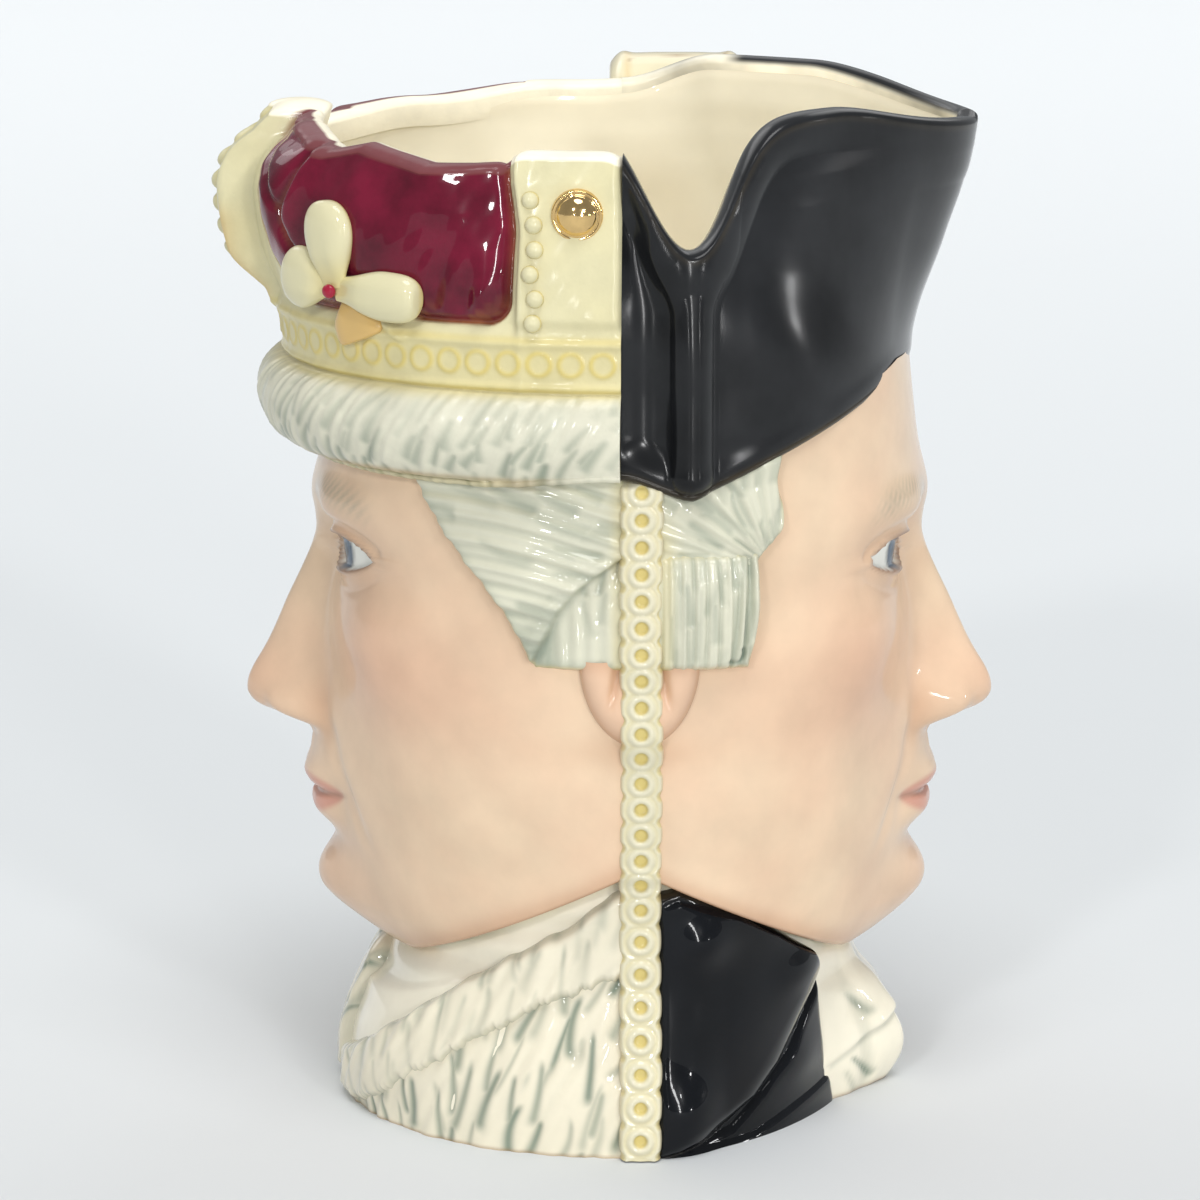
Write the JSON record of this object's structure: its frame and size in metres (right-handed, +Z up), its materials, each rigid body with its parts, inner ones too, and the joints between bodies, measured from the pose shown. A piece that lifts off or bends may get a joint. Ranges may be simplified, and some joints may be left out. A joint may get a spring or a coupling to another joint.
{
  "type": "character jug",
  "caption": "Glazed ceramic jug in the form of crowned and cocked-hatted heads back to back, open at the rim, with a scroll handle.",
  "frame": {"origin": "on the table, at the middle of the flat underside, in the plane of the two braided seams", "axes": "+Z up; the crowned head looks along -X and the hatted head along +X; the handle is on the +Y side"},
  "size_m": [0.1401, 0.1432, 0.1843],
  "materials": {
    "glaze": "painted under a clear glossy glaze"
  },
  "bodies": {
    "root": {"two_faced_jug": "glaze"}
  },
  "joints": []
}
